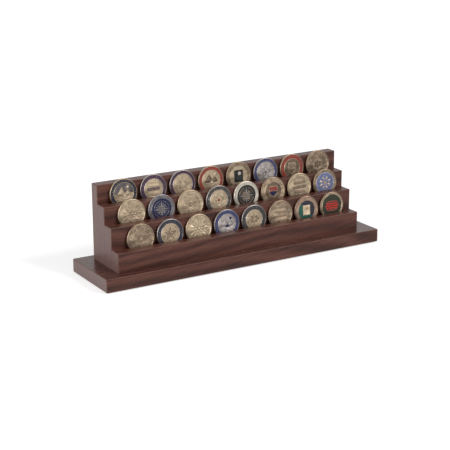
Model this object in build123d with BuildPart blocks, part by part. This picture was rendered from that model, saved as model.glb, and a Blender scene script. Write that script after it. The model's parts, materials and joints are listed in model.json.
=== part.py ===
"""Stepped wooden display stand: four upright boards on a base, with a row of struck coins in each tier.

Millimetres, +X along the rows, +Y to the back, +Z up. The origin is at the middle of the base, on the
surface that the stand rests on.
"""

import os
from math import atan, cos, radians, sin, tan

from build123d import *

os.makedirs("parts", exist_ok=True)

# Coins: a sunk field inside a raised rim, with a plain raised device
coin_radius = 20.65
coin_thickness = 3.2
rim_width = 2.0
rim_height = 0.5
field_sides = 24
device_height = 0.35

# Devices: stars by their outer and inner radius, the others by their width and height
device_radius = 11.5
star_points = 5
star_waist = 4.6
rose_points = 8
rose_waist = 5.2
sunburst_points = 10
sunburst_waist = 8.0
wreath_waist = 9.8
wreath_opening = 7.1
frame_opening = 4.6
panel_width = 12.6
panel_height = 15.0
peak_base = 15.0
peak_slope = 12.6
peak_offset = 3.7
bar_length = 18.4
bar_width = 3.4
bar_pitch = 6.9
bar_count = 3

# Gaps between the coins of each row, and how far the row stands right of the stand's middle
front_coin_gap = 3.85
middle_coin_gap = 4.4
rear_coin_gap = 4.7
front_row_shift = 3.5
middle_row_shift = 3.0
rear_row_shift = 2.3
coin_clearance = 0.3

# Stopped slot along the rear top edge of each tier board, with play that lets the coins lean back
slot_play = 3.15
slot_depth = 10.4
slot_end_room = 1.95
slot_end_margin = 13.4
slot_corner_radius = 3.0

# Upright boards, glued face to face, and how much higher each one stands than the one in front
tier_thickness = 20.3
back_thickness = 17.1
front_rise = 27.5
middle_rise = 30.0
rear_rise = 24.5
back_rise = 26.2

# Edges of the boards that show, broken with a small chamfer
eased_edge = 0.8

# Base board, with its margins round the stand, and the felt pads it stands on
base_thickness = 19.0
base_end_margin = 26.5
base_side_margin = 14.5
stand_shift = -1.4
pad_side = 20.0
pad_thickness = 1.5
pad_inset = 10.0

# Countersunk wood screws, up through the base into the middle tier board
screw_length = 32.0
screw_radius = 2.1
screw_head_radius = 4.0
screw_end_distance = 57.0
screw_count = 2
screw_hole_clearance = 0.15
countersink_angle = 82.0

# The device on each coin, from the left end of the row
front_devices = ["wreath", "star", "sunburst", "peaks", "rose", "bars", "panel", "bars"]
middle_devices = ["sunburst", "rose", "frame", "star", "rose", "shield", "bars", "frame"]
rear_devices = ["peaks", "bars", "rose", "peaks", "panel", "star", "shield", "wreath"]

tier_names = ["front", "middle", "rear"]
screwed_tier = "middle"
rises = [front_rise, middle_rise, rear_rise, back_rise]
board_heights = [sum(rises[: number + 1]) for number in range(len(rises))]
coin_gaps = [front_coin_gap, middle_coin_gap, rear_coin_gap]
coin_pitches = [2 * coin_radius + gap for gap in coin_gaps]
row_shifts = [front_row_shift, middle_row_shift, rear_row_shift]
row_devices = [front_devices, middle_devices, rear_devices]
coins_in_row = len(front_devices)

base_top = pad_thickness + base_thickness
slot_width = coin_thickness + slot_play
slot_length = (coins_in_row - 1) * max(coin_pitches) + 2 * coin_radius + 2 * slot_end_room
stand_length = slot_length + 2 * slot_end_margin
stand_depth = len(tier_names) * tier_thickness + back_thickness
stand_front = -stand_depth / 2
base_length = stand_length + 2 * base_end_margin
base_depth = stand_depth + 2 * base_side_margin
screw_pitch = stand_length - 2 * screw_end_distance
screw_line = stand_front + tier_names.index(screwed_tier) * tier_thickness + tier_thickness / 2
screw_reach = screw_length - base_thickness
hole_radius = screw_radius + screw_hole_clearance
FRONT, BACK = 0, -1


def upright_board(number, thickness, back_shows):
    """One board on edge. Its front corners are eased above the board in front, where they show."""
    hidden_height = board_heights[number - 1] if number else 0.0
    middle = stand_front + number * tier_thickness + thickness / 2
    back_corners = [BACK] if back_shows else []
    with BuildPart() as board:
        for low, high, eased_corners in [
            (0.0, hidden_height, back_corners),
            (hidden_height, board_heights[number], [FRONT] + back_corners),
        ]:
            if high > low:
                with BuildSketch(Plane.XY.offset(base_top + low)) as outline:
                    with Locations((stand_shift, middle)):
                        Rectangle(stand_length, thickness)
                    for corner in eased_corners:
                        chamfer(outline.vertices().group_by(Axis.Y)[corner], eased_edge)
                extrude(amount=high - low)
        top_edges = board.faces().sort_by(Axis.Z)[-1].edges()
        chamfer(top_edges if back_shows else top_edges.sort_by(Axis.Y)[:-1], eased_edge)
    return board


def screw_places(height):
    """The plane that looks down from a height onto the screws' line, for holes made from below."""
    return Plane((stand_shift, screw_line, height), x_dir=(1, 0, 0), z_dir=(0, 0, -1))


# Base board, with clearance holes countersunk from below
with BuildPart() as base_board:
    with BuildSketch(Plane.XY.offset(pad_thickness)) as outline:
        Rectangle(base_length, base_depth)
        chamfer(outline.vertices(), eased_edge)
    extrude(amount=base_thickness)
    chamfer(base_board.faces().filter_by(Axis.Z).edges(), eased_edge)
    with Locations(screw_places(pad_thickness)):
        with GridLocations(screw_pitch, 0, screw_count, 1):
            CounterSinkHole(
                hole_radius,
                screw_head_radius + screw_hole_clearance,
                counter_sink_angle=countersink_angle,
            )
base_board.part.label = "base_board"
export_step(base_board.part, "parts/base_board.step")

# Felt pads stuck under the base's corners
pad_pitch_x = base_length - 2 * pad_inset - pad_side
pad_pitch_y = base_depth - 2 * pad_inset - pad_side

with BuildPart() as felt_pads:
    with BuildSketch():
        with GridLocations(pad_pitch_x, pad_pitch_y, 2, 2):
            Rectangle(pad_side, pad_side)
    extrude(amount=pad_thickness)
felt_pads.part.label = "felt_pads"
export_step(felt_pads.part, "parts/felt_pads.step")

# Wood screws, turned as one profile with the head down
screw_head_height = (screw_head_radius - screw_radius) / tan(radians(countersink_angle / 2))

with BuildPart() as wood_screw:
    with BuildSketch(Plane.XZ):
        with BuildLine():
            Polyline(
                (0, 0),
                (screw_head_radius, 0),
                (screw_radius, screw_head_height),
                (screw_radius, screw_length),
                (0, screw_length),
                close=True,
            )
        make_face()
    revolve(axis=Axis.Z)

with BuildPart() as assembly_screws:
    with Locations((stand_shift, screw_line, pad_thickness)):
        with GridLocations(screw_pitch, 0, screw_count, 1):
            add(wood_screw.part)
assembly_screws.part.label = "assembly_screws"
export_step(assembly_screws.part, "parts/assembly_screws.step")

# Tier boards, each with its stopped slot, and pilot holes where the screws enter
for number, name in enumerate(tier_names):
    tier_back = stand_front + (number + 1) * tier_thickness
    with BuildPart() as tier_board:
        add(upright_board(number, tier_thickness, back_shows=False).part)
        with BuildSketch(Plane.XY.offset(base_top + board_heights[number])) as slot:
            with Locations((stand_shift, tier_back - slot_width / 2)):
                Rectangle(slot_length, slot_width)
            fillet(slot.vertices().group_by(Axis.Y)[FRONT], slot_corner_radius)
        extrude(amount=-slot_depth, mode=Mode.SUBTRACT)
        if name == screwed_tier:
            with Locations(screw_places(base_top)):
                with GridLocations(screw_pitch, 0, screw_count, 1):
                    Hole(hole_radius, depth=screw_reach + screw_hole_clearance)
    tier_board.part.label = name + "_tier_board"
    export_step(tier_board.part, "parts/" + name + "_tier_board.step")

# Back board, which the rear row leans against
back_board = upright_board(len(tier_names), back_thickness, back_shows=True)
back_board.part.label = "back_board"
export_step(back_board.part, "parts/back_board.step")


def star(points, waist):
    """The outline of a star with straight sides, its first point up."""
    radii = [device_radius, waist] * points
    turns = [90 + corner * 180 / points for corner in range(2 * points)]
    with BuildLine() as outline:
        Polyline([Vector(r, 0).rotate(Axis.Z, turn) for r, turn in zip(radii, turns)], close=True)
    return outline.line


def device(kind):
    """A plain raised device for the middle of a coin, drawn about the origin."""
    with BuildSketch() as drawn:
        if kind == "star":
            make_face(star(star_points, star_waist).edges())
        elif kind == "rose":
            make_face(star(rose_points, rose_waist).edges())
        elif kind == "sunburst":
            make_face(star(sunburst_points, sunburst_waist).edges())
        elif kind == "wreath":
            make_face(star(rose_points, wreath_waist).edges())
            RegularPolygon(wreath_opening, rose_points, mode=Mode.SUBTRACT)
        elif kind == "frame":
            RegularPolygon(device_radius, rose_points)
            RegularPolygon(frame_opening, 4, mode=Mode.SUBTRACT)
        elif kind == "shield":
            from_edge = (Align.CENTER, Align.MIN)
            Rectangle(panel_width, panel_height / 2, align=from_edge)
            Triangle(a=panel_width, b=peak_slope, c=peak_slope, rotation=180, align=from_edge)
        elif kind == "peaks":
            with Locations((-peak_offset, 0), (peak_offset, -peak_offset / 2)):
                Triangle(a=peak_base, b=peak_slope, c=peak_slope)
        elif kind == "bars":
            with GridLocations(0, bar_pitch, 1, bar_count):
                Rectangle(bar_length, bar_width)
        elif kind == "panel":
            Rectangle(panel_width, panel_height)
    return drawn.sketch


def row_lean(number):
    """How far a row's coins lean back, in radians: until they meet the eased edge of the board behind."""
    edge_height = rises[number + 1] - eased_edge + slot_depth - coin_clearance
    return atan((slot_play - 2 * coin_clearance) / min(edge_height, 2 * coin_radius))


# Coins, each standing on its slot's floor with its foot forward and leaning back
for number, (pitch, row_shift, devices) in enumerate(zip(coin_pitches, row_shifts, row_devices)):
    lean = row_lean(number)
    slot_front = stand_front + (number + 1) * tier_thickness - slot_width
    foot_y = slot_front + coin_clearance + coin_thickness * cos(lean)
    foot_z = base_top + board_heights[number] - slot_depth + coin_clearance
    for place, kind in enumerate(devices):
        centre_x = stand_shift + row_shift + (place - (coins_in_row - 1) / 2) * pitch
        centre = (centre_x, foot_y + coin_radius * sin(lean), foot_z + coin_radius * cos(lean))
        back_face = Plane(centre, x_dir=(1, 0, 0), z_dir=(0, -cos(lean), sin(lean)))
        with BuildPart() as coin:
            with BuildSketch(back_face):
                Circle(coin_radius)
            extrude(amount=coin_thickness)
            with BuildSketch(back_face.offset(coin_thickness)):
                RegularPolygon(coin_radius - rim_width, field_sides)
            extrude(amount=-rim_height, mode=Mode.SUBTRACT)
            with BuildSketch(back_face.offset(coin_thickness - rim_height)):
                add(device(kind))
            extrude(amount=device_height)
        node = "coin_" + tier_names[number] + "_" + str(place + 1)
        coin.part.label = node
        export_step(coin.part, "parts/" + node + ".step")
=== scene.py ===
import json
from math import cos, pi, radians, sin, sqrt

import bmesh
import bpy
from mathutils import Matrix, Vector


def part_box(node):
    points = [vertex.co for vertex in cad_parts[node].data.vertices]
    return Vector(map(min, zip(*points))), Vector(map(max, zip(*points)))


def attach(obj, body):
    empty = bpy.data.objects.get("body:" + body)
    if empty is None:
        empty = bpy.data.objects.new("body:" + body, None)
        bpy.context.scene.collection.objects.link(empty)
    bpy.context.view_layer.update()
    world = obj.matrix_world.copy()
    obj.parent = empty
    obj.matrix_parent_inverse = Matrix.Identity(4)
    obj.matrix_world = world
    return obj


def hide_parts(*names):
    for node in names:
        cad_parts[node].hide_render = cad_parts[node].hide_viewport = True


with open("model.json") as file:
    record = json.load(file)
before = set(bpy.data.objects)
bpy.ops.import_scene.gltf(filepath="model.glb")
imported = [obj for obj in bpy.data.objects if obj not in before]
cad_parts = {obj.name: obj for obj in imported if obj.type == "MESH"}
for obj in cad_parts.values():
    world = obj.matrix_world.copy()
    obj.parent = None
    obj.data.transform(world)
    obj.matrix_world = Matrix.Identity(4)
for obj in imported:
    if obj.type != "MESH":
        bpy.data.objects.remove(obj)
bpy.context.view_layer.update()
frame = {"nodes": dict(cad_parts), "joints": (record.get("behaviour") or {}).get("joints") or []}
nodes = frame["nodes"]
mm = 0.001


# The camera. A long lens from the left of the stand's front and a little above it, with a square
# picture that the stand fills from side to side.
camera_place = Vector((-0.88801, -1.46817, 0.56021))
camera_azimuth = radians(-30.884)
camera_elevation = radians(16.624)
camera_roll = radians(-0.142)
lens_length = 100.15
film_width = 36.0
view_end = 20.0

camera_data = bpy.data.cameras.new("camera")
camera_data.sensor_width = film_width
camera_data.lens = lens_length
camera_data.clip_end = view_end
camera = bpy.data.objects.new("camera", camera_data)
bpy.context.scene.collection.objects.link(camera)
camera.matrix_world = (
    Matrix.Translation(camera_place)
    @ Matrix.Rotation(camera_azimuth, 4, "Z")
    @ Matrix.Rotation(pi / 2 - camera_elevation, 4, "X")
    @ Matrix.Rotation(camera_roll, 4, "Z")
)
bpy.context.scene.camera = camera
bpy.context.scene.view_settings.view_transform = "Standard"


# The studio. A white sweep under soft light: the main one low over the right shoulder, a panel that
# faces the stand's left end, and a pale room that fills the shadows.
main_light = 2.12
main_light_spread = 24.0
main_light_azimuth = 38.0
main_light_elevation = 34.0
panel_place = Vector((-1.60, -0.22, 0.50))
panel_aim = Vector((-0.2, 0, 0.06))
panel_size = 0.6
panel_watts = 18.0
room_light = 0.24
backdrop_white = 1.0
floor_half = 14.0
floor_albedo = 0.85
floor_white = 0.51


def wire(material_or_world):
    """The node tree, emptied, with a function that adds a node and one that joins two sockets."""
    material_or_world.use_nodes = True
    tree = material_or_world.node_tree
    tree.nodes.clear()

    def add(kind, **settings):
        node = tree.nodes.new(kind)
        for name, value in settings.items():
            if hasattr(node, name):
                setattr(node, name, value)
            else:
                node.inputs[name.replace("_", " ")].default_value = value
        return node

    def join(source, target):
        tree.links.new(source, target)

    return add, join


main_data = bpy.data.lights.new("main_light", "SUN")
main_data.energy = main_light
main_data.angle = radians(main_light_spread)
main_lamp = bpy.data.objects.new("main_light", main_data)
bpy.context.scene.collection.objects.link(main_lamp)
main_lamp.rotation_euler = (pi / 2 - radians(main_light_elevation), 0, radians(main_light_azimuth))

panel_data = bpy.data.lights.new("light_panel", "AREA")
panel_data.shape = "SQUARE"
panel_data.size = panel_size
panel_data.energy = panel_watts
panel_lamp = bpy.data.objects.new("light_panel", panel_data)
bpy.context.scene.collection.objects.link(panel_lamp)
panel_lamp.location = panel_place
panel_lamp.rotation_euler = (panel_aim - panel_place).to_track_quat("-Z", "Y").to_euler()


def white_to_the_eye(add, join):
    """1 for what the camera sees, straight, mirrored or through glass, and 0 for light on the object."""
    path = add("ShaderNodeLightPath")
    straight = add("ShaderNodeMath", operation="MAXIMUM")
    join(path.outputs["Is Camera Ray"], straight.inputs[0])
    join(path.outputs["Is Glossy Ray"], straight.inputs[1])
    through = add("ShaderNodeMath", operation="MAXIMUM")
    join(straight.outputs[0], through.inputs[0])
    join(path.outputs["Is Transmission Ray"], through.inputs[1])
    return through.outputs[0]


world = bpy.data.worlds.new("studio")
bpy.context.scene.world = world
add, join = wire(world)
room = add("ShaderNodeBackground", Color=(1, 1, 1, 1), Strength=room_light)
backdrop = add("ShaderNodeBackground", Color=(1, 1, 1, 1), Strength=backdrop_white)
either = add("ShaderNodeMixShader")
join(white_to_the_eye(add, join), either.inputs["Fac"])
join(room.outputs[0], either.inputs[1])
join(backdrop.outputs[0], either.inputs[2])
join(either.outputs[0], add("ShaderNodeOutputWorld").inputs["Surface"])

floor_mesh = bpy.data.meshes.new("floor")
floor_mesh.from_pydata(
    [(x * floor_half, y * floor_half, 0) for x, y in ((-1, -1), (1, -1), (1, 1), (-1, 1))],
    [],
    [(0, 1, 2, 3)],
)
floor = bpy.data.objects.new("floor", floor_mesh)
bpy.context.scene.collection.objects.link(floor)
floor_paper = bpy.data.materials.new("floor_paper")
add, join = wire(floor_paper)
paper = add("ShaderNodeBsdfDiffuse", Color=(floor_albedo, floor_albedo, floor_albedo, 1))
lift = add("ShaderNodeEmission", Color=(1, 1, 1, 1), Strength=floor_white)
both = add("ShaderNodeAddShader")
join(paper.outputs[0], both.inputs[0])
join(lift.outputs[0], both.inputs[1])
either = add("ShaderNodeMixShader")
join(white_to_the_eye(add, join), either.inputs["Fac"])
join(paper.outputs[0], either.inputs[1])
join(both.outputs[0], either.inputs[2])
join(either.outputs[0], add("ShaderNodeOutputMaterial").inputs["Surface"])
floor_mesh.materials.append(floor_paper)


# The base board. Walnut, 19 mm thick, sawn and planed with its grain along the stand, its edges broken
# and the whole finished in a satin lacquer. The grain's marks are counted to a millimetre.
walnut_dark = (0.026, 0.0075, 0.0052)
walnut_middle = (0.080, 0.025, 0.0168)
walnut_light = (0.134, 0.052, 0.036)
figure_stops = (0.18, 0.52, 0.88)
band_marks = (0.004, 0.0483077, 0.0386462)
band_share = 0.40
streak_marks = (0.011, 0.2083333, 0.4166667)
streak_share = 0.72
cloud_marks = (0.009, 0.03, 0.03)
cloud_share = 0.36
figure_start = -0.22
side_tilt = 0.4
fibre_marks = (0.03, 2.6, 2.6)
fibre_dark = (0.72, 0.70, 0.68)
fibre_light = (1.08, 1.08, 1.08)
fibre_share = 0.8
pore_marks = (0.16, 3.4, 3.4)
pore_colour = (0.012, 0.006, 0.005)
faces_the_end = 0.9
end_calm = 0.45
end_tone = 0.6
# The end grain's pale grey veil is a painted reflection of the white room.
end_painted_reflection = (0.22, 0.20, 0.20)
end_reflection_share = 0.20
flat_face, eased_face = 0.97, 0.75
worn_edge = (0.14, 0.072, 0.054)
glue_line = 0.5
satin, dull = 0.30, 0.46
grain_depth = 0.04
lacquer_ior = 1.32


def ramp_of(add, stops):
    """A ramp with the given places and their colours or plain numbers."""
    node = add("ShaderNodeValToRGB")
    bar = node.color_ramp
    while len(bar.elements) < len(stops):
        bar.elements.new(0.5)
    for element, (place, colour) in zip(bar.elements, stops):
        element.position = place
        element.color = (colour, colour, colour, 1) if isinstance(colour, float) else (*colour, 1)
    return node


def calculator(add, join):
    """A function that makes one sum on sockets or plain numbers."""

    def calculate(operation, *values):
        node = add("ShaderNodeMath", operation=operation)
        for socket, value in zip(node.inputs, values):
            if isinstance(value, (int, float)):
                socket.default_value = value
            else:
                join(value, socket)
        return node.outputs[0]

    return calculate


def mixer(add, join):
    """A function that mixes two colours, each of them a socket or a plain colour."""

    def mix(factor, first, second, blend="MIX"):
        node = add("ShaderNodeMix", data_type="RGBA", blend_type=blend)
        for name, value in (("Factor", factor), ("A", first), ("B", second)):
            if isinstance(value, float):
                node.inputs[name].default_value = value
            elif isinstance(value, tuple):
                node.inputs[name].default_value = (*value, 1)
            else:
                join(value, node.inputs[name])
        return node.outputs["Result"]

    return mix


def walnut(name, node, shift, tilt, tone, polish=0.0):
    """A node's walnut, its grain along X. shift moves the cut through the log, tone is its lightness, and
    polish is how much smoother its lacquer is."""
    wood = bpy.data.materials.new(name)
    add, join = wire(wood)
    calculate = calculator(add, join)
    mix = mixer(add, join)
    place = add("ShaderNodeTexCoord")

    def cut(marks, turn=0.0):
        """The log's coordinates, with that many marks to a millimetre along X, Y and Z."""
        mapping = add("ShaderNodeMapping", vector_type="TEXTURE")
        mapping.inputs["Location"].default_value = [part * mm for part in shift]
        mapping.inputs["Rotation"].default_value = (0, -radians(turn), radians(turn * side_tilt))
        mapping.inputs["Scale"].default_value = [mm / part for part in marks]
        join(place.outputs["Object"], mapping.inputs["Vector"])
        return mapping.outputs["Vector"]

    def noise(marks, detail, roughness, turn=0.0):
        """Noise with that many marks to a millimetre."""
        texture = add("ShaderNodeTexNoise", Scale=1.0, Detail=detail, Roughness=roughness)
        join(cut(marks, turn), texture.inputs["Vector"])
        return texture.outputs["Fac"]

    bands = add(
        "ShaderNodeTexWave", wave_type="RINGS", rings_direction="X", wave_profile="SIN",
        Scale=1.0, Distortion=6.0, Detail=3.0, Detail_Scale=0.55, Detail_Roughness=0.55,
    )
    join(cut(band_marks, tilt), bands.inputs["Vector"])
    streaks = noise(streak_marks, 5.0, 0.6, tilt)
    fibres = noise(fibre_marks, 3.0, 0.65)
    pores = noise(pore_marks, 1.0, 0.5)
    clouds = noise(cloud_marks, 2.0, 0.5)
    banded = calculate("MULTIPLY", bands.outputs["Fac"], band_share)
    streaked = calculate("MULTIPLY_ADD", streaks, streak_share, banded)
    clouded = calculate("MULTIPLY_ADD", clouds, cloud_share, streaked)
    figure = calculate("ADD", clouded, figure_start + tone)

    # Sawn across, at the board's ends, the figure is calmer.
    facing = add("ShaderNodeSeparateXYZ")
    join(place.outputs["Normal"], facing.inputs[0])
    sides = [calculate("ABSOLUTE", facing.outputs[axis]) for axis in "XYZ"]
    end_grain = calculate("GREATER_THAN", sides[0], faces_the_end)
    calmed = add("ShaderNodeMix")
    join(calculate("MULTIPLY", end_grain, end_calm), calmed.inputs["Factor"])
    join(figure, calmed.inputs["A"])
    calmed.inputs["B"].default_value = end_tone + 2 * tone
    colour = ramp_of(add, list(zip(figure_stops, (walnut_dark, walnut_middle, walnut_light))))
    join(calmed.outputs["Result"], colour.inputs["Fac"])

    # Fibres and open pores.
    fibre_shade = ramp_of(add, [(0.30, fibre_dark), (0.62, fibre_light)])
    join(fibres, fibre_shade.inputs["Fac"])
    pore_mask = ramp_of(add, [(0.655, 0.0), (0.70, 1.0)])
    join(pores, pore_mask.inputs["Fac"])
    fibred = mix(fibre_share, colour.outputs["Color"], fibre_shade.outputs["Color"], "MULTIPLY")
    pored = mix(pore_mask.outputs["Color"], fibred, pore_colour)

    # The broken edges, rubbed paler here and there.
    squareness = calculate("MAXIMUM", calculate("MAXIMUM", sides[0], sides[1]), sides[2])
    on_edge = add("ShaderNodeMapRange", From_Min=flat_face, From_Max=eased_face)
    join(squareness, on_edge.inputs["Value"])
    rubbed = add("ShaderNodeTexNoise", Scale=90.0, Detail=2.0)
    join(place.outputs["Object"], rubbed.inputs["Vector"])
    wear = calculate("MULTIPLY", on_edge.outputs[0], rubbed.outputs["Fac"])
    worn = mix(wear, pored, worn_edge)

    # On the ends, a dark line of glue at each face of the board, and a pale grey veil over the end grain, a
    # painted reflection of the white room.
    low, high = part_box(node)
    across = add("ShaderNodeSeparateXYZ")
    join(place.outputs["Object"], across.inputs[0])
    outward = calculate("ABSOLUTE", calculate("SUBTRACT", across.outputs["Y"], (low[1] + high[1]) / 2))
    at_glue = calculate("GREATER_THAN", outward, (high[1] - low[1]) / 2 - glue_line * mm)
    glued = mix(calculate("MULTIPLY", at_glue, end_grain), worn, walnut_dark)
    with_painted_reflection = mix(calculate("MULTIPLY", end_grain, end_reflection_share), glued, end_painted_reflection)

    sheen = add("ShaderNodeMapRange", To_Min=satin - polish, To_Max=dull - polish)
    join(fibres, sheen.inputs["Value"])
    grain = add("ShaderNodeBump", Strength=0.14, Distance=grain_depth * mm)
    join(calculate("MULTIPLY_ADD", pore_mask.outputs["Color"], -1.0, fibres), grain.inputs["Height"])
    lacquered = add("ShaderNodeBsdfPrincipled", IOR=lacquer_ior)
    join(with_painted_reflection, lacquered.inputs["Base Color"])
    join(sheen.outputs[0], lacquered.inputs["Roughness"])
    join(grain.outputs["Normal"], lacquered.inputs["Normal"])
    join(lacquered.outputs[0], add("ShaderNodeOutputMaterial").inputs["Surface"])
    return wood


def finish_node(node, material):
    """The node keeps its shape and takes one finish all over."""
    nodes[node].data.materials.clear()
    nodes[node].data.materials.append(material)


finish_node("base_board", walnut("walnut_base", "base_board", (40.0, 150.0, -70.0), 12.0, 0.02, 0.12))


# The felt pads. Squares of black wool felt, stuck under the base's corners, which keep the wood and the
# heads of the screws off the table.
felt_colour = (0.018, 0.018, 0.020)
felt_highlight = 3.0
wool_tangle = 900.0
wool_sheen = 0.4
nap_height = 0.3

felt = bpy.data.materials.new("felt")
add, join = wire(felt)
wool = add("ShaderNodeTexNoise", Scale=wool_tangle, Detail=4.0, Roughness=0.7)
join(add("ShaderNodeTexCoord").outputs["Object"], wool.inputs["Vector"])
wool_shade = ramp_of(add, [(0.3, felt_colour), (0.8, [felt_highlight * part for part in felt_colour])])
join(wool.outputs["Fac"], wool_shade.inputs["Fac"])
nap = add("ShaderNodeBump", Strength=0.8, Distance=nap_height * mm)
join(wool.outputs["Fac"], nap.inputs["Height"])
fibrous = add("ShaderNodeBsdfPrincipled", Roughness=0.95, Sheen_Weight=wool_sheen)
join(wool_shade.outputs["Color"], fibrous.inputs["Base Color"])
join(nap.outputs["Normal"], fibrous.inputs["Normal"])
join(fibrous.outputs[0], add("ShaderNodeOutputMaterial").inputs["Surface"])
finish_node("felt_pads", felt)


# The wood screws. Zinc-plated steel, driven up through the base into the middle tier board, their heads
# sunk flush with the underside.
zinc_colour = (0.55, 0.55, 0.52)
crystal_dark = 0.8
crystal_scale = 1400.0

zinc = bpy.data.materials.new("zinc_plate")
add, join = wire(zinc)
crystals = add("ShaderNodeTexVoronoi", Scale=crystal_scale)
join(add("ShaderNodeTexCoord").outputs["Object"], crystals.inputs["Vector"])
crystal_shade = ramp_of(add, [(0.0, [crystal_dark * part for part in zinc_colour]), (1.0, zinc_colour)])
join(crystals.outputs["Distance"], crystal_shade.inputs["Fac"])
plated = add("ShaderNodeBsdfPrincipled", Metallic=1.0, Roughness=0.38)
join(crystal_shade.outputs["Color"], plated.inputs["Base Color"])
join(plated.outputs[0], add("ShaderNodeOutputMaterial").inputs["Surface"])
finish_node("assembly_screws", zinc)


# The tier boards. Walnut boards on edge, glued face to face, each with a stopped slot routed along its
# rear top edge for a row of coins, and each sawn from another place in the log.
for tier, shift, tilt, tone in (
    ("front", (-60.0, 90.0, -80.0), 12.0, 0.02),
    ("middle", (75.0, 140.0, 130.0), -4.0, 0.0),
    ("rear", (9.0, -110.0, 170.0), 3.5, -0.02),
):
    board = tier + "_tier_board"
    finish_node(board, walnut("walnut_" + tier, board, shift, tilt, tone))


# The back board. The tallest and thinnest of the four, glued behind them, which the rear row leans on.
# It is sawn flat from the log, so its back has a wide arched figure.
finish_node("back_board", walnut("walnut_back", "back_board", (130.0, 98.0, 62.0), 4.0, 0.01))


# The coins' metals. Struck brass, left bright or darkened and rubbed back, and silver and nickel plate.
# The die gives the field a worked ground, dark polish stays at the feet of what stands up, and the rim's
# rounding and milled edge are painted lighter as a painted highlight, on the rounding together with worn
# polish.
coin_radius = 20.63
half_thickness = 1.6
half_edge = 0.75
edge_skin = 0.2
edge_reeds = 132
rim_starts = 18.95
rounding = 0.6
field_level = 1.10
relief_level = 1.42
ground_shade, foot_shade, crest_shade = 0.98, 0.92, 1.38
ground_dark, ground_light = 0.55, 0.40
ground_stretch = (0.6, 1.25, 1.0)
tarnish_range, tarnish_start = 1.2, 0.4
# The rim's rounding is made paler, for worn polish and a painted highlight.
wear_and_highlight_gain = 0.75
# The milled edge is made paler still, a painted highlight.
edge_highlight_gain = 1.5
strike_depth = 0.16
die_depth = 0.6
fine_grain = 0.12
relief_polish = 0.10


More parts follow.
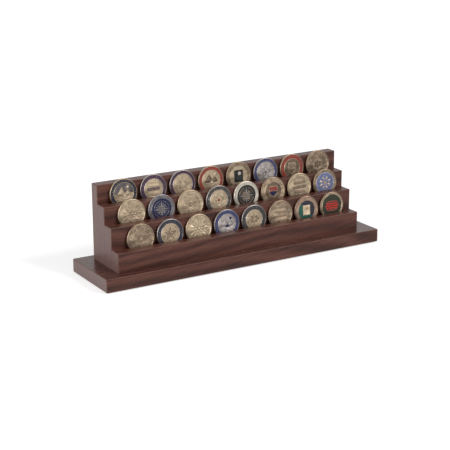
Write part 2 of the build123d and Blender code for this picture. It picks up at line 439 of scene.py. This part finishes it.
def struck_metal(name, tone, dark, roughness, worked, rim_share):
    """A struck metal. dark and rim_share are its shares of the tone in the corners and on the rim, and
    worked is how deep its ground is worked."""
    metal = bpy.data.materials.new(name)
    add, join = wire(metal)
    calculate = calculator(add, join)
    place = add("ShaderNodeTexCoord")
    parts = add("ShaderNodeSeparateXYZ")
    join(place.outputs["Object"], parts.inputs[0])
    across, upward, outward = (parts.outputs[axis] for axis in "XYZ")

    # Where a point is: on the rim, on its rounding, on the milled edge, or so high on the relief.
    squares = [calculate("MULTIPLY", part, part) for part in (across, upward)]
    radius = calculate("SQRT", calculate("ADD", *squares))
    level = calculate("ABSOLUTE", outward)
    raised = add("ShaderNodeMapRange", From_Min=field_level * mm, From_Max=relief_level * mm)
    join(level, raised.inputs["Value"])
    on_rim = calculate("GREATER_THAN", radius, rim_starts * mm)
    on_edge = calculate(
        "MULTIPLY",
        calculate("LESS_THAN", level, half_edge * mm),
        calculate("GREATER_THAN", radius, (coin_radius - edge_skin) * mm),
    )
    near_edge = calculate("GREATER_THAN", radius, (coin_radius - rounding) * mm)
    on_round = calculate("SUBTRACT", near_edge, on_edge)
    height = calculate("MAXIMUM", raised.outputs[0], on_rim)

    # Its colour: paler on what stands up and what wears, with worn polish and a painted highlight on the
    # rim's rounding and a painted highlight on the milled edge, darker in the corners and in the worked
    # ground.
    shade = ramp_of(add, [
        (0.0, ground_shade), (0.06, foot_shade), (0.2, dark), (0.3, dark), (0.7, crest_shade),
    ])
    join(height, shade.inputs["Fac"])
    layers = add("ShaderNodeMapping", Scale=ground_stretch)
    join(place.outputs["Object"], layers.inputs["Vector"])
    ground = add("ShaderNodeTexNoise", Scale=130.0, Detail=1.0, Roughness=0.45, Distortion=0.8)
    join(layers.outputs["Vector"], ground.inputs["Vector"])
    chased = ramp_of(add, [(0.30, 1 - ground_dark * worked), (0.48, 1.0), (0.66, 1 + ground_light * worked)])
    join(ground.outputs["Fac"], chased.inputs["Fac"])
    tarnish = add("ShaderNodeTexNoise", Scale=75.0, Detail=1.5)
    join(place.outputs["Object"], tarnish.inputs["Vector"])
    clouded = calculate("ADD", calculate("MULTIPLY", tarnish.outputs["Fac"], tarnish_range), tarnish_start)
    rim_tone = calculate("ADD", calculate("MULTIPLY", on_rim, rim_share - 1), 1.0)
    # Paler rounding: worn polish and a painted highlight.
    wear_and_highlight_tone = calculate("ADD", calculate("MULTIPLY", on_round, wear_and_highlight_gain), 1.0)
    # Paler milled edge: a painted highlight.
    wear_and_highlight_total = calculate("ADD", calculate("MULTIPLY", on_edge, edge_highlight_gain), wear_and_highlight_tone)
    struck_tone = calculate("MULTIPLY", shade.outputs["Color"], calculate("MULTIPLY", rim_tone, wear_and_highlight_total))
    off_rim = calculate("SUBTRACT", 1.0, on_rim)
    chased_more = calculate("SUBTRACT", chased.outputs["Color"], 1.0)
    worked_tone = calculate("ADD", calculate("MULTIPLY", chased_more, off_rim), 1.0)
    tint = calculate("MULTIPLY", calculate("MULTIPLY", struck_tone, worked_tone), clouded)
    colour = add("ShaderNodeVectorMath", operation="SCALE")
    colour.inputs[0].default_value = tone
    join(tint, colour.inputs["Scale"])

    # Its skin: the worked ground, a fine grain, and the reeds of the milled edge.
    turn = calculate("ARCTAN2", upward, across)
    milled = calculate("MULTIPLY", calculate("SINE", calculate("MULTIPLY", turn, edge_reeds)), on_edge)
    grain = add("ShaderNodeTexNoise", Scale=2600.0, Detail=3.0)
    join(place.outputs["Object"], grain.inputs["Vector"])
    fine = calculate("MULTIPLY", grain.outputs["Fac"], fine_grain)
    die_work = calculate("MULTIPLY", worked_tone, die_depth * worked)
    struck = add("ShaderNodeBump", Strength=0.7, Distance=strike_depth * mm)
    join(calculate("ADD", calculate("ADD", die_work, fine), milled), struck.inputs["Height"])

    plated = add("ShaderNodeBsdfPrincipled", Metallic=1.0)
    join(colour.outputs[0], plated.inputs["Base Color"])
    polished = calculate("MULTIPLY", height, relief_polish)
    join(calculate("SUBTRACT", roughness + relief_polish, polished), plated.inputs["Roughness"])
    join(struck.outputs["Normal"], plated.inputs["Normal"])
    join(plated.outputs[0], add("ShaderNodeOutputMaterial").inputs["Surface"])
    return metal


struck_metals = {
    "bright_gold": ((0.345, 0.272, 0.190), 0.62, 0.46, 0.55, 0.50),
    "light_gold": ((0.350, 0.277, 0.194), 0.62, 0.46, 0.40, 0.38),
    "antique_gold": ((0.240, 0.180, 0.128), 0.52, 0.48, 0.75, 0.52),
    "dark_brass": ((0.140, 0.104, 0.073), 0.50, 0.48, 0.6, 0.90),
    "copper_gold": ((0.200, 0.136, 0.101), 0.55, 0.44, 0.4, 0.60),
    "silver": ((0.290, 0.262, 0.248), 0.55, 0.42, 0.6, 0.42),
    "cream_silver": ((0.285, 0.262, 0.222), 0.60, 0.44, 0.2, 0.80),
    "nickel": ((0.125, 0.113, 0.107), 0.55, 0.44, 0.5, 0.80),
    "pewter": ((0.098, 0.090, 0.094), 0.50, 0.44, 0.5, 1.05),
}
finishes = {name: struck_metal(name, *values) for name, values in struck_metals.items()}


# The coins' enamels. Soft enamel, poured into the sunk rings and fields and baked, a little below the
# metal round it.
thin_enamel, thick_enamel = 1.15, 0.8


def enamel(name, colour):
    """A baked enamel with a slight unevenness in its colour and its skin."""
    paint = bpy.data.materials.new(name)
    add, join = wire(paint)
    settle = add("ShaderNodeTexNoise", Scale=420.0, Detail=2.0)
    join(add("ShaderNodeTexCoord").outputs["Object"], settle.inputs["Vector"])
    thick = [thick_enamel * part for part in colour]
    thin = [thin_enamel * part for part in colour]
    shade = ramp_of(add, [(0.3, thick), (0.7, thin)])
    join(settle.outputs["Fac"], shade.inputs["Fac"])
    skin = add("ShaderNodeBump", Strength=0.12, Distance=0.05 * mm)
    join(settle.outputs["Fac"], skin.inputs["Height"])
    baked = add("ShaderNodeBsdfPrincipled", Roughness=0.34, IOR=1.36)
    join(shade.outputs["Color"], baked.inputs["Base Color"])
    join(skin.outputs["Normal"], baked.inputs["Normal"])
    join(baked.outputs[0], add("ShaderNodeOutputMaterial").inputs["Surface"])
    return paint


enamel_colours = {
    "navy": (0.019, 0.019, 0.033),
    "blue": (0.042, 0.048, 0.125),
    "deep_blue": (0.005, 0.008, 0.046),
    "violet": (0.052, 0.022, 0.048),
    "red": (0.500, 0.030, 0.024),
    "brick": (0.235, 0.045, 0.030),
    "black": (0.008, 0.008, 0.008),
    "slate": (0.036, 0.034, 0.031),
    "teal": (0.012, 0.090, 0.062),
    "sky": (0.240, 0.270, 0.420),
    "green": (0.022, 0.026, 0.012),
}
for name, colour in enamel_colours.items():
    finishes[name] = enamel(name + "_enamel", colour)


# The coins' blanks. Discs of 41 mm, struck between two dies: a rounded rim, a milled edge, and a sunk
# field with a soft corner where it meets the rim. On the back, three raised rings.
round_steps = 120
closing_radius = 0.5
middle_radius = 0.2
back_round = 0.35
rim_profile = ((0.0, 0.7), (0.15, 1.15), (0.42, 1.45), (0.8, half_thickness))
rim_top = half_thickness
plain_rim = coin_radius - 1.7
ringed_rim = coin_radius - 1.1
rim_lip = ((0.15, 0.03), (0.0, 0.12))
rim_foot = 0.2
field_top = half_thickness - 0.5
enamel_top = half_thickness - 0.28
metal_ring_top = half_thickness - 0.24
line_top = half_thickness - 0.08
back_middle = 6.0
back_field = 18.7
back_rim = 19.05
back_rings = (15.5, 11.3, 7.1)
back_ring_foot, back_ring_top, back_ring_drop = 0.6, 0.3, 0.15
back_steps = 60
sharpest_mitre = 0.35
blunt_end = 0.02


class Struck:
    """A coin in the making: points in millimetres, and faces with the name of their finish."""

    def __init__(self):
        self.points = []
        self.faces = []
        self.finishes = []

    def add(self, points, faces, finish):
        start = len(self.points)
        self.points += points
        self.faces += [[start + corner for corner in face] for face in faces]
        self.finishes += [finish] * len(faces)


def turned(coin, profile, finish, steps=round_steps):
    """A band turned about the coin's axis through (radius, height) points, from the rim to the middle."""
    points = []
    faces = []
    for radius, height in profile:
        for step in range(steps):
            turn = 2 * pi * step / steps
            points.append((radius * cos(turn), radius * sin(turn), height))
    for ring in range(len(profile) - 1):
        for step in range(steps):
            after = (step + 1) % steps
            first, second = ring * steps, (ring + 1) * steps
            faces.append((first + step, first + after, second + after, second + step))
    if profile[-1][0] < closing_radius:
        last = (len(profile) - 1) * steps
        faces.append([last + step for step in range(steps)])
    coin.add(points, faces, finish)


def inset(outline, distance):
    """The outline drawn in by a distance, with mitred corners. It runs anticlockwise."""
    drawn_in = []
    for number, here in enumerate(outline):
        before = outline[number - 1]
        after = outline[(number + 1) % len(outline)]
        first = Vector((here[0] - before[0], here[1] - before[1])).normalized()
        second = Vector((after[0] - here[0], after[1] - here[1])).normalized()
        inward = Vector((-first.y - second.y, first.x + second.x))
        inward.normalize()
        reach = distance / max(sharpest_mitre, inward.dot(Vector((-first.y, first.x))))
        drawn_in.append((here[0] + inward.x * reach, here[1] + inward.y * reach))
    return drawn_in


def plate(coin, outline, foot, top, finish, bevel=0.3):
    """A flat raised shape with bevelled edges."""
    inner = inset(outline, bevel)
    count = len(outline)
    points = [(*corner, foot) for corner in outline]
    points += [(*corner, top) for corner in inner]
    faces = [(k, (k + 1) % count, count + (k + 1) % count, count + k) for k in range(count)]
    faces.append([count + k for k in range(count)])
    coin.add(points, faces, finish)


def faceted(coin, outline, foot, top, finish, middle=(0.0, 0.0)):
    """A shape that rises in facets from its outline to one point."""
    count = len(outline)
    points = [(*corner, foot) for corner in outline] + [(*middle, top)]
    coin.add(points, [(k, (k + 1) % count, count) for k in range(count)], finish)


def ridge(coin, path, width, foot, top, finish, pointed=False):
    """A rounded ridge along a path of points, square or pointed at its ends."""
    across = [(-1.0, 0.0), (-0.6, 0.75), (0.0, 1.0), (0.6, 0.75), (1.0, 0.0)]
    points = []
    for number, (x, y) in enumerate(path):
        before = path[max(0, number - 1)]
        after = path[min(len(path) - 1, number + 1)]
        along = Vector((after[0] - before[0], after[1] - before[1])).normalized()
        share = number / (len(path) - 1)
        half = width / 2 * (sqrt(max(blunt_end, 1 - (2 * share - 1) ** 2)) if pointed else 1.0)
        points += [
            (x - along.y * half * side, y + along.x * half * side, foot + (top - foot) * rise)
            for side, rise in across
        ]
    row = len(across)
    faces = []
    for number in range(len(path) - 1):
        for k in range(row - 1):
            start = number * row + k
            faces.append((start, start + row, start + row + 1, start + 1))
    faces.append([k for k in range(row)])
    faces.append([len(points) - 1 - k for k in range(row)])
    coin.add(points, [face[::-1] for face in faces], finish)


def bead(coin, x, y, radius, foot, top, finish, steps=8):
    """A round bead."""
    points = []
    for share, rise in ((1.0, 0.0), (0.8, 0.6), (0.4, 0.93)):
        for step in range(steps):
            turn = 2 * pi * step / steps
            points.append(
                (x + radius * share * cos(turn), y + radius * share * sin(turn), foot + (top - foot) * rise)
            )
    points.append((x, y, top))
    faces = []
    for ring in range(2):
        for step in range(steps):
            after = (step + 1) % steps
            first, second = ring * steps, (ring + 1) * steps
            faces.append((first + step, first + after, second + after, second + step))
    faces += [(2 * steps + step, 2 * steps + (step + 1) % steps, 3 * steps) for step in range(steps)]
    coin.add(points, faces, finish)


def polar(radius, turn, middle=(0.0, 0.0)):
    """The point at a radius and a turn in degrees, anticlockwise from the right."""
    return (middle[0] + radius * cos(radians(turn)), middle[1] + radius * sin(radians(turn)))


def star_outline(points, outer, waist, turn=90.0, middle=(0.0, 0.0)):
    """A star with straight sides."""
    return [
        polar(waist if corner % 2 else outer, turn + corner * 180 / points, middle)
        for corner in range(2 * points)
    ]


def arc(radius, start, end, steps, middle=(0.0, 0.0)):
    """Points along an arc."""
    return [polar(radius, start + (end - start) * step / steps, middle) for step in range(steps + 1)]


def leaf(coin, root, turn, length, width, foot, top, finish):
    """A leaf with a raised rib along its middle."""
    edge = [(0.0, 0.0), (0.3, -0.85), (0.6, -0.9), (1.0, 0.0), (0.6, 0.9), (0.3, 0.85)]
    rib = [(0.25, 0.0), (0.75, 0.0)]
    lean = radians(turn)
    points = []
    for share, side in edge + rib:
        x, y = polar(length * share, turn, root)
        height = foot if (share, side) in edge else top
        points.append((x - sin(lean) * side * width / 2, y + cos(lean) * side * width / 2, height))
    faces = [(0, 1, 6), (1, 2, 7, 6), (2, 3, 7), (3, 4, 7), (4, 5, 6, 7), (5, 0, 6)]
    coin.add(points, faces, finish)


# The devices. Plain ornament such as any die sinker cuts: wreaths, stars, sunbursts, hills, compass
# roses, bars and shields, raised from the field. Each is drawn for a circle of 12 mm radius, and then
# scaled to its coin's field.
device_radius = 12.0


def cut_wreath(coin, metal, second, foot):
    """Two branches with leaves on both sides, round a six-pointed star."""
    top = foot + 0.34
    for side in (-1, 1):
        for step in range(7):
            turn = -76 + step * 22
            x, y = polar(9.4, turn)
            root = (side * x, y)
            heading = turn + 62 if side > 0 else 180 - (turn + 62)
            leaf(coin, root, heading, 4.8, 2.7, foot, top, metal)
            inner = (side * x * 0.92, y * 0.92)
            heading = turn + 125 if side > 0 else 180 - (turn + 125)
            leaf(coin, inner, heading, 4.2, 2.4, foot, top - 0.06, metal)
        stem = [(side * x, y) for x, y in arc(9.3, -84, 66, 16)]
        ridge(coin, stem if side < 0 else stem[::-1], 0.7, foot, top - 0.05, metal)
    faceted(coin, star_outline(6, 5.6, 2.8), foot, top + 0.05, second)


def cut_star(coin, metal, second, foot):
    """A five-pointed star, with beads and arcs between its points."""
    top = foot + 0.45
    faceted(coin, star_outline(5, 9.6, 3.9), foot, top, metal)
    bead(coin, 0, 0, 2.5, foot, top + 0.05, second, 12)
    for step in range(5):
        bead(coin, *polar(7.8, step * 72 - 90), 1.25, foot, top - 0.12, metal, 10)
        ridge(coin, arc(10.6, step * 72 - 112, step * 72 - 68, 6), 0.8, foot, top - 0.15, metal)
    for step in range(10):
        leaf(coin, polar(5.6, step * 36 + 6), step * 36 + 30, 3.0, 1.2, foot, top - 0.18, metal)


def cut_sunburst(coin, metal, second, foot):
    """Fourteen curved rays round a flower of eight petals."""
    top = foot + 0.34
    for step in range(14):
        reach = device_radius if step % 2 == 0 else 9.8
        turn = step * 180 / 7
        spoke = [polar(5.0, turn), polar(reach * 0.7, turn + 6), polar(reach, turn)]
        ridge(coin, spoke, 3.0 if step % 2 == 0 else 2.0, foot, top, metal, pointed=True)
    for step in range(8):
        leaf(coin, polar(1.6, step * 45), step * 45, 3.6, 2.4, foot, top + 0.02, second)
    bead(coin, 0, 0, 1.9, foot, top + 0.05, second, 12)


def cut_peaks(coin, metal, second, foot):
    """Three hills above water, under a small sun."""
    top = foot + 0.42
    for x, y, half, rise, finish in (
        (-3.4, -2.2, 6.8, 10.5, metal), (5.0, -2.2, 5.4, 7.0, metal), (0.8, -4.4, 4.2, 5.6, second),
    ):
        outline = [(x - half, y), (x + half * 0.15, y - 1.0), (x + half, y), (x + half * 0.15, y + rise)]
        faceted(coin, outline, foot, top, finish, (x - half * 0.12, y + rise * 0.45))
    bead(coin, 5.6, 7.2, 1.9, foot, top - 0.1, second, 14)
    for step in range(9):
        spark = [polar(2.7, step * 40, (5.6, 7.2)), polar(3.9, step * 40, (5.6, 7.2))]
        ridge(coin, spark, 0.5, foot, top - 0.2, metal)
    for line in range(4):
        y = -4.8 - line * 1.9
        half = sqrt(max(1.0, device_radius ** 2 - y * y)) - 0.8
        wave = [(-half + half * 2 * k / 14, y + 0.4 * sin(k * 1.7 + line)) for k in range(15)]
        ridge(coin, wave, 0.9, foot, top - 0.12, metal)


def cut_rose(coin, metal, second, foot):
    """A compass rose of eight points in a broken ring."""
    top = foot + 0.45
    faceted(coin, star_outline(4, 8.2, 3.6, 45), foot, top - 0.12, second)
    faceted(coin, star_outline(4, 11.3, 2.5), foot, top, metal)
    for step in range(4):
        ridge(coin, arc(9.9, step * 90 + 14, step * 90 + 76, 10), 0.9, foot, top - 0.15, second)
        bead(coin, *polar(6.9, step * 90 + 22), 0.8, foot, top - 0.15, metal)
        bead(coin, *polar(6.9, step * 90 - 22), 0.8, foot, top - 0.15, metal)
    bead(coin, 0, 0, 1.5, foot, top + 0.05, second, 12)


def cut_bars(coin, metal, second, foot):
    """Three notched bars between two pairs of arcs."""
    top = foot + 0.36
    for line, finish in ((-1, metal), (0, second), (1, metal)):
        y = line * 5.0
        half = 9.0 if line == 0 else 7.6
        plate(coin, [(-half, y - 1.6), (half, y - 1.6), (half, y + 1.6), (-half, y + 1.6)], foot, top, finish)
        for notch in range(int(half)):
            x = -half + 1.3 + notch * 1.9
            ridge(coin, [(x, y - 0.9), (x + 0.7, y + 0.9)], 0.5, top, top + 0.1, metal)
    for side in (-1, 1):
        for radius in (9.8, 11.4):
            ridge(coin, arc(radius, side * 90 - 40, side * 90 + 40, 12), 0.8, foot, top, metal)


def cut_panel(coin, metal, second, foot):
    """An upright panel with a fine frame, a bead and three lines."""
    top = foot + 0.34
    plate(coin, [(-6.3, -7.5), (6.3, -7.5), (6.3, 7.5), (-6.3, 7.5)], foot, top, metal)
    frame_line = [(-5.4, -6.6), (5.4, -6.6), (5.4, 6.6), (-5.4, 6.6), (-5.4, -6.6)]
    ridge(coin, frame_line, 0.4, top, top + 0.1, metal)
    bead(coin, 1.0, 3.0, 2.3, top, top + 0.14, second, 14)
    for line in range(3):
        ridge(coin, [(-3.6, -1.2 - line * 1.8), (3.6, -1.2 - line * 1.8)], 0.6, top, top + 0.1, metal)


def cut_frame(coin, metal, second, foot):
    """An eight-sided frame round spokes, petals and a small square."""
    top = foot + 0.4
    for radius, width in ((11.4, 1.0), (9.4, 0.6)):
        corners = [polar(radius, 22.5 + step * 45) for step in range(9)]
        ridge(coin, corners, width, foot, top, metal)
    for step in range(8):
        spoke = [polar(4.8, step * 45), polar(7.0, step * 45), polar(9.0, step * 45)]
        ridge(coin, spoke, 1.2, foot, top - 0.06, metal, pointed=True)
        leaf(coin, polar(3.6, 22.5 + step * 45), 22.5 + step * 45, 5.0, 2.6, foot, top - 0.05, second)
    ridge(coin, [polar(4.4, 45 + step * 90) for step in range(5)], 0.8, foot, top, metal)
    faceted(coin, [polar(2.8, 90 + step * 90) for step in range(4)], foot, top + 0.05, second)


def cut_shield(coin, metal, second, foot):
    """A shield with a gilt outline, its lower half in a second finish under a wavy line."""
    top = foot + 0.36
    side = [(6.3, 7.4), (6.3, 0.5), (5.4, -3.2), (3.4, -6.2), (0.0, -8.8)]
    outline = [(-x, y) for x, y in side[:-1]] + [(x, y) for x, y in side[::-1]]
    low_half = [point for point in outline if point[1] <= 0.5]
    plate(coin, outline, foot, top, metal)
    plate(coin, inset(low_half, 0.6), top - 0.02, top + 0.06, second, 0.15)
    ridge(coin, outline + outline[:1], 0.8, top - 0.1, top + 0.12, "antique_gold")
    ridge(coin, [(-6.0, 0.8), (-2.0, 1.6), (2.0, 0.0), (6.0, 0.8)], 0.7, top, top + 0.12, "dark_brass")


devices = {
    "wreath": cut_wreath, "star": cut_star, "sunburst": cut_sunburst, "peaks": cut_peaks, "rose": cut_rose,
    "bars": cut_bars, "panel": cut_panel, "frame": cut_frame, "shield": cut_shield,
}


# The rings. Round the device of most coins runs a ring of enamel or metal between the rim and a raised
# line, with small ornament on it. The raised line is narrower at its top than at its foot.
line_foot_out, line_top_out, line_top_in, line_foot_in = 0.2, 0.1, -0.25, -0.4


def ring_ornament(coin, kind, middle, foot, metal):
    """Small raised work round a ring."""
    top = foot + 0.14
    if kind == "dashes":
        for step in range(60):
            if step % 15 not in (0, 14):
                turn = step * 6 + 3
                ridge(coin, [polar(middle - 0.5, turn), polar(middle + 0.5, turn)], 0.35, foot, top, metal)
    elif kind == "pellets":
        for step in range(30):
            bead(coin, *polar(middle, step * 12), 0.3, foot, top, metal, 6)
    elif kind == "leaves":
        for step in range(30):
            turn = step * 12
            leaf(coin, polar(middle, turn), turn + 70, 2.8, 1.6, foot, top + 0.2, metal)
    elif kind == "waves":
        for line in (-1.0, 0.5):
            path = [polar(middle + line + 0.3 * sin(step * 0.9), step * 4) for step in range(91)]
            ridge(coin, path, 0.7, foot, top + 0.16, metal)


# The striking. One blow brings up the rim, the ring's raised line, the device and the back, and then the
# enamels are poured.
field_steps = (1.0, 0.6, 0.25)
device_margin = 1.5
bare_ornament_radius = 17.0


def strike_blank(coin, rim, rim_inner):
    """The rim with the milled edge, and the back with its field and its raised rings."""
    turned(coin, [
        (coin_radius - back_round, -rim_top),
        (coin_radius, -rim_top + back_round),
        *[(coin_radius - inward, height) for inward, height in rim_profile],
        *[(rim_inner + outward, rim_top - drop) for outward, drop in rim_lip],
        (rim_inner - rim_foot, field_top),
    ], rim)
    turned(coin, [(back_field, -field_top), (back_rim, -rim_top), (coin_radius - back_round, -rim_top)], rim)
    turned(coin, [(middle_radius, -field_top), (back_middle, -field_top), (back_field, -field_top)], rim)
    for radius in back_rings:
        turned(coin, [
            (radius - back_ring_foot, -field_top), (radius - back_ring_top, -rim_top + back_ring_drop),
            (radius + back_ring_top, -rim_top + back_ring_drop), (radius + back_ring_foot, -field_top),
        ], rim, back_steps)


def strike_field(coin, edge, foot, field):
    """The flat field inside an edge. It may be two halves and the direction of the second in degrees."""
    first_half, second_half, direction = field if isinstance(field, tuple) else (field, field, 0.0)
    first_face = len(coin.faces)
    turned(coin, [(edge * share, foot) for share in field_steps], first_half)
    turned(coin, [(edge * field_steps[-1], foot), (middle_radius, foot)], first_half)
    for number in range(first_face, len(coin.faces)):
        x, y, height = coin.points[coin.faces[number][0]]
        if cos(radians(direction)) * x + sin(radians(direction)) * y > 0:
            coin.finishes[number] = second_half


def strike(rim, ring, ring_inner, ring_kind, field, device, metal, second, reach=None):
    """A whole coin: blank, rim, ring, field and device. reach is how far the device goes across and up."""
    coin = Struck()
    rim_inner = plain_rim if ring is None or ring == rim else ringed_rim
    strike_blank(coin, rim, rim_inner)
    field_edge = rim_inner - rim_foot
    foot = field_top
    if ring is None:
        ring_ornament(coin, ring_kind, bare_ornament_radius, foot, rim)
    else:
        ring_top = metal_ring_top if ring in struck_metals else enamel_top
        first_half = field[0] if isinstance(field, tuple) else field
        foot = field_top if first_half in struck_metals else enamel_top
        line_start = ring_inner + line_foot_out
        turned(coin, [(field_edge, field_top), (field_edge, ring_top), (line_start, ring_top)], ring)
        turned(coin, [
            (line_start, ring_top), (ring_inner + line_top_out, line_top),
            (ring_inner + line_top_in, line_top), (ring_inner + line_foot_in, foot),
        ], rim)
        ring_ornament(coin, ring_kind, (field_edge + ring_inner) / 2, ring_top, rim)
        field_edge = ring_inner + line_foot_in
    strike_field(coin, field_edge, foot, field)
    first_point = len(coin.points)
    devices[device](coin, metal, second, foot)
    wide, tall = reach or (ring_inner - device_margin, ring_inner - device_margin)
    coin.points[first_point:] = [
        (x * wide / device_radius, y * tall / device_radius, z) for x, y, z in coin.points[first_point:]
    ]
    return coin


# The rows. Eight coins to a row, no two quite alike, each standing in its slot and leaning back on the
# board behind. A design gives the rim, the ring with its inner radius and ornament, the field, and the
# device with its two finishes and, where it isn't as wide as the field, its reach across and up.
weld_distance = 0.002
sharp_corner = 28
coin_designs = {
    "coin_front_1": (
        "antique_gold", None, 17.9, None, "antique_gold",
        "wreath", "antique_gold", "antique_gold",
    ),
    "coin_front_2": (
        "silver", "navy", 14.6, "pellets", "light_gold",
        "star", "antique_gold", "dark_brass",
    ),
    "coin_front_3": (
        "bright_gold", None, 17.9, None, "bright_gold",
        "sunburst", "bright_gold", "bright_gold",
    ),
    "coin_front_4": (
        "silver", "blue", 14.4, None, "silver",
        "peaks", "silver", "deep_blue",
    ),
    "coin_front_5": (
        "silver", "slate", 14.0, "pellets", "light_gold",
        "rose", "antique_gold", "antique_gold",
    ),
    "coin_front_6": (
        "antique_gold", None, 17.5, None, "antique_gold",
        "bars", "antique_gold", "antique_gold",
    ),
    "coin_front_7": (
        "copper_gold", "copper_gold", 14.4, "dashes", ("teal", "navy", 40.0),
        "panel", "bright_gold", "antique_gold", (11.8, 11.8),
    ),
    "coin_front_8": (
        "antique_gold", "antique_gold", 17.4, None, "green",
        "bars", "red", "red", (16.4, 7.6),
    ),
    "coin_middle_1": (
        "bright_gold", None, 17.9, None, "bright_gold",
        "sunburst", "antique_gold", "antique_gold",
    ),
    "coin_middle_2": (
        "pewter", "pewter", 15.4, "dashes", "deep_blue",
        "rose", "nickel", "pewter",
    ),
    "coin_middle_3": (
        "bright_gold", None, 17.5, None, "light_gold",
        "frame", "antique_gold", "antique_gold",
    ),
    "coin_middle_4": (
        "silver", "slate", 14.8, "dashes", "light_gold",
        "star", "light_gold", "brick",
    ),
    "coin_middle_5": (
        "cream_silver", "cream_silver", 15.7, None, "black",
        "rose", "nickel", "dark_brass",
    ),
    "coin_middle_6": (
        "dark_brass", "antique_gold", 13.4, "leaves", "dark_brass",
        "shield", "brick", "deep_blue", (13.4, 11.4),
    ),
    "coin_middle_7": (
        "bright_gold", None, 17.5, None, "bright_gold",
        "bars", "dark_brass", "dark_brass",
    ),
    "coin_middle_8": (
        "antique_gold", "dark_brass", 16.2, None, "sky",
        "frame", "blue", "antique_gold", (14.6, 14.6),
    ),
    "coin_rear_1": (
        "light_gold", "navy", 15.2, "pellets", ("light_gold", "pewter", 90.0),
        "peaks", "light_gold", "light_gold",
    ),
    "coin_rear_2": (
        "silver", "violet", 14.8, "pellets", "light_gold",
        "bars", "light_gold", "violet",
    ),
    "coin_rear_3": (
        "silver", "violet", 15.6, None, "light_gold",
        "rose", "bright_gold", "light_gold",
    ),
    "coin_rear_4": (
        "light_gold", "brick", 14.7, None, "light_gold",
        "peaks", "dark_brass", "light_gold",
    ),
    "coin_rear_5": (
        "dark_brass", "dark_brass", 15.6, "waves", "bright_gold",
        "panel", "black", "cream_silver",
    ),
    "coin_rear_6": (
        "silver", "blue", 15.2, "pellets", "silver",
        "star", "silver", "pewter",
    ),
    "coin_rear_7": (
        "light_gold", "brick", 13.8, None, "dark_brass",
        "shield", "dark_brass", "dark_brass",
    ),
    "coin_rear_8": (
        "antique_gold", None, 17.9, None, "antique_gold",
        "wreath", "dark_brass", "dark_brass",
    ),
}
leans = {joint["child"]: Vector(joint["axis"]).normalized() for joint in frame["joints"]}

for node, design in coin_designs.items():
    coin = strike(*design)
    mesh = bpy.data.meshes.new("struck_" + node)
    mesh.from_pydata([[part * mm for part in point] for point in coin.points], [], coin.faces)
    used = sorted(set(coin.finishes))
    for finish in used:
        mesh.materials.append(finishes[finish])
    for polygon, finish in zip(mesh.polygons, coin.finishes):
        polygon.material_index = used.index(finish)
        polygon.use_smooth = True
    welded = bmesh.new()
    welded.from_mesh(mesh)
    bmesh.ops.remove_doubles(welded, verts=welded.verts, dist=weld_distance * mm)
    welded.to_mesh(mesh)
    welded.free()
    mesh.set_sharp_from_angle(angle=radians(sharp_corner))
    piece = bpy.data.objects.new("struck_" + node, mesh)
    bpy.context.scene.collection.objects.link(piece)
    low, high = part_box(node)
    middle = (Vector(low) + Vector(high)) / 2
    up = leans[node]
    outward = Vector((1, 0, 0)).cross(up)
    piece.matrix_world = Matrix((
        (1, up.x, outward.x, middle.x),
        (0, up.y, outward.y, middle.y),
        (0, up.z, outward.z, middle.z),
        (0, 0, 0, 1),
    ))
    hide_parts(node)
    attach(piece, node)
